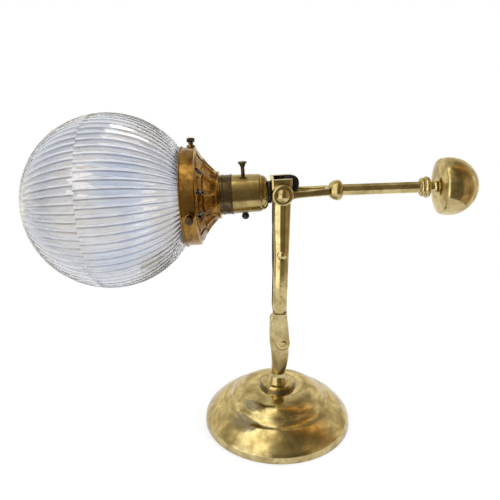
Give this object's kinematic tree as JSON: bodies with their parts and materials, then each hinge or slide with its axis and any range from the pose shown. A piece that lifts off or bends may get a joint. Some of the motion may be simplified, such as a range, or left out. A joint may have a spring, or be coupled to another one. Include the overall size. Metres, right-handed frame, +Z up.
{
  "type": "table lamp",
  "caption": "Counterbalanced table lamp: weighted round base, hinged two-bar stem, and a tilting arm with a ribbed glass globe at one end and a ball weight at the other.",
  "frame": {"origin": "middle of the base, on the surface that the lamp stands on", "axes": "+X towards the ball weight, -X towards the glass globe, -Y to the front, +Z up"},
  "size_m": [0.3928, 0.1512, 0.2967],
  "materials": {
    "polished_brass": "polished, slightly aged",
    "gallery_brass": "polished, warm",
    "holder_brass": "satin, aged",
    "dark_brass": "dark bronze patina",
    "steel": "satin",
    "cast_iron": "black paint",
    "felt": "matt felt",
    "moulding": "black, slightly glossy",
    "braided_wire": "black braid",
    "ribbed_glass": "clear, ribbed"
  },
  "bodies": {
    "base": {"base_shell": "polished_brass", "base_felt": "felt", "base_weight": "cast_iron", "cord_bush": "polished_brass", "terminal_block": "moulding", "foot_washer": "steel", "foot": "polished_brass", "foot_nut": "steel", "knuckle_washers": "steel", "knuckle_screws": "polished_brass", "flex_foot": "braided_wire"},
    "stem": {"stem_front_bar": "polished_brass", "stem_back_bar": "polished_brass", "stem_tie": "polished_brass", "flex_stem": "braided_wire", "flex_foot_bend": "braided_wire", "flex_top_bend": "braided_wire"},
    "arm": {"pivot_washers": "steel", "pivot_pins": "polished_brass", "arm_yoke": "polished_brass", "baluster": "polished_brass", "arm_rod": "polished_brass", "rod_collar": "polished_brass", "ball_weight": "polished_brass", "entry_nipple": "dark_brass", "insulating_ring": "moulding", "holder_cap": "holder_brass", "holder_body": "holder_brass", "holder_skirt": "holder_brass", "bayonet_barrel": "holder_brass", "contact_block": "moulding", "contact_spring_front": "steel", "contact_spring_rear": "steel", "shade_ring_rear": "dark_brass", "shade_ring_front": "dark_brass", "inner_shade_ring": "dark_brass", "gallery": "gallery_brass", "globe": "ribbed_glass", "flex_head": "braided_wire", "core_wires": "moulding"},
    "switch": {"switch_bar": "dark_brass", "switch_tip": "moulding"},
    "screw_upper": {"gallery_screw_upper": "dark_brass"},
    "screw_front": {"gallery_screw_front": "dark_brass"},
    "screw_rear": {"gallery_screw_rear": "dark_brass"},
    "plunger_front": {"contact_plunger_front": "holder_brass"},
    "plunger_rear": {"contact_plunger_rear": "holder_brass"}
  },
  "joints": [
    {"name": "stem_tilt", "type": "hinge", "parent": "base", "child": "stem", "pos_m": [0.0033, 0, 0.09], "axis": [0, 1, 0], "range_deg": [-30, 45], "deforming": ["flex_foot_bend"]},
    {"name": "arm_tilt", "type": "hinge", "parent": "stem", "child": "arm", "pos_m": [0, 0, 0.2305], "axis": [0, 1, 0], "range_deg": [-28, 55], "deforming": ["flex_top_bend"]},
    {"name": "switch_push", "type": "slide", "parent": "arm", "child": "switch", "axis": [-0.0628, 0, 0.998], "range_m": [-0.0055, 0]},
    {"name": "screw_upper_turn_out", "type": "slide", "parent": "arm", "child": "screw_upper", "axis": [-0.059, 0.342, 0.9378], "range_m": [0, 0.004]},
    {"name": "screw_front_turn_out", "type": "slide", "parent": "arm", "child": "screw_front", "axis": [0.0109, -0.9848, -0.1733], "range_m": [0, 0.004]},
    {"name": "screw_rear_turn_out", "type": "slide", "parent": "arm", "child": "screw_rear", "axis": [0.0481, 0.6428, -0.7645], "range_m": [0, 0.004]},
    {"name": "plunger_front_press", "type": "slide", "parent": "arm", "child": "plunger_front", "axis": [0.998, 0, 0.0628], "range_m": [0, 0.0033], "stiffness_N_per_m": 400, "springref_m": -0.002, "deforming": ["contact_spring_front"]},
    {"name": "plunger_rear_press", "type": "slide", "parent": "arm", "child": "plunger_rear", "axis": [0.998, 0, 0.0628], "range_m": [0, 0.0033], "stiffness_N_per_m": 400, "springref_m": -0.002, "deforming": ["contact_spring_rear"]}
  ]
}
